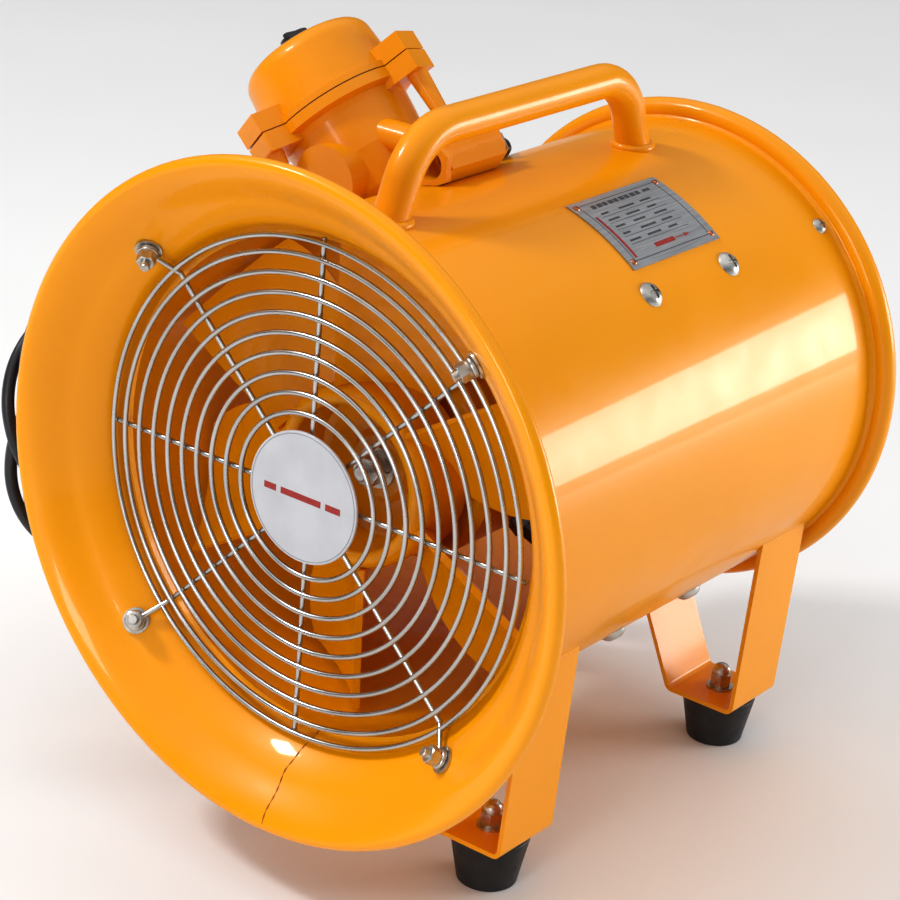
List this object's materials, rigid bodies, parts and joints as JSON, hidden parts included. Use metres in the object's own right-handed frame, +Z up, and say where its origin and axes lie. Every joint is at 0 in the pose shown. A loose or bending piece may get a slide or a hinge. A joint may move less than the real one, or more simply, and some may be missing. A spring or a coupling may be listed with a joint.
{
  "type": "portable axial ventilation fan",
  "caption": "Portable axial duct fan: flared inlet with wire grille, bladed impeller and motor in a tube, carry handle, junction box with cord, bent legs on rubber feet.",
  "frame": {"origin": "on the floor, below the middle of the fan's length and width, 8.2 mm to the left of the fan axis seen from the inlet", "axes": "+Z up, +Y along the fan axis with the air flow from inlet to outlet, +X to the right of someone who looks into the inlet"},
  "size_m": [0.443, 0.4264, 0.4628],
  "materials": {
    "orange_paint": "gloss powder coat",
    "zinc_steel": "bright zinc",
    "bare_steel": "machined",
    "black_rubber": "matte",
    "cable_sheath": "satin",
    "black_plastic": "satin",
    "disc_label": "satin",
    "nameplate_metal": "satin",
    "terminal_plastic": "matte",
    "copper_winding": "varnished wire",
    "tie_strap": "woven"
  },
  "bodies": {
    "housing": {"duct_housing": "orange_paint", "inlet_bell": "orange_paint", "motor_shell": "orange_paint", "motor_front_cover": "orange_paint", "motor_rear_cover": "orange_paint", "motor_brackets": "orange_paint", "carry_handle": "orange_paint", "leg_front_left": "orange_paint", "leg_front_right": "orange_paint", "leg_rear_left": "orange_paint", "leg_rear_right": "orange_paint", "junction_box_base": "orange_paint", "junction_box_lid": "orange_paint", "outlet_elbow": "orange_paint", "box_nipple": "orange_paint", "cord_peg": "orange_paint", "front_grille": "zinc_steel", "rear_grille": "zinc_steel", "grille_bolts": "zinc_steel", "grille_washers": "zinc_steel", "grille_nuts": "zinc_steel", "rear_grille_screws": "zinc_steel", "rear_grille_nuts": "zinc_steel", "motor_cover_screws": "zinc_steel", "motor_bracket_screws": "zinc_steel", "motor_bracket_nuts": "zinc_steel", "foot_bolts": "zinc_steel", "foot_washers": "zinc_steel", "foot_nuts": "zinc_steel", "lid_screws": "zinc_steel", "cord_gland": "zinc_steel", "stator_core": "bare_steel", "motor_bearings": "bare_steel", "foot_front_left": "black_rubber", "foot_front_right": "black_rubber", "foot_rear_left": "black_rubber", "foot_rear_right": "black_rubber", "lid_gasket": "black_rubber", "cord_boot": "black_rubber", "power_cord": "cable_sheath", "cord_coil": "cable_sheath", "cord_tail": "cable_sheath", "motor_lead": "cable_sheath", "switch_body": "black_plastic", "motor_lead_gland": "black_plastic", "start_capacitor": "black_plastic", "power_plug": "black_plastic", "grille_disc": "disc_label", "nameplate": "nameplate_metal", "nameplate_rivets": "nameplate_metal", "terminal_block": "terminal_plastic", "stator_windings": "copper_winding", "cord_tie": "tie_strap"},
    "rotor": {"impeller_hub": "orange_paint", "impeller_blades": "orange_paint", "hub_nut": "zinc_steel", "hub_washers": "zinc_steel", "motor_shaft": "bare_steel", "rotor_core": "bare_steel"},
    "switch_dial": {"switch_knob": "black_plastic"}
  },
  "joints": [
    {"name": "impeller_spin", "type": "hinge", "parent": "housing", "child": "rotor", "pos_m": [0.0082, -0.1, 0.249], "axis": [0, 1, 0], "continuous": true},
    {"name": "switch_turn", "type": "hinge", "parent": "housing", "child": "switch_dial", "pos_m": [-0.18674, 0.02525, 0.43725], "axis": [-0.7193, 0, 0.6947], "range_deg": [0, 90]}
  ]
}
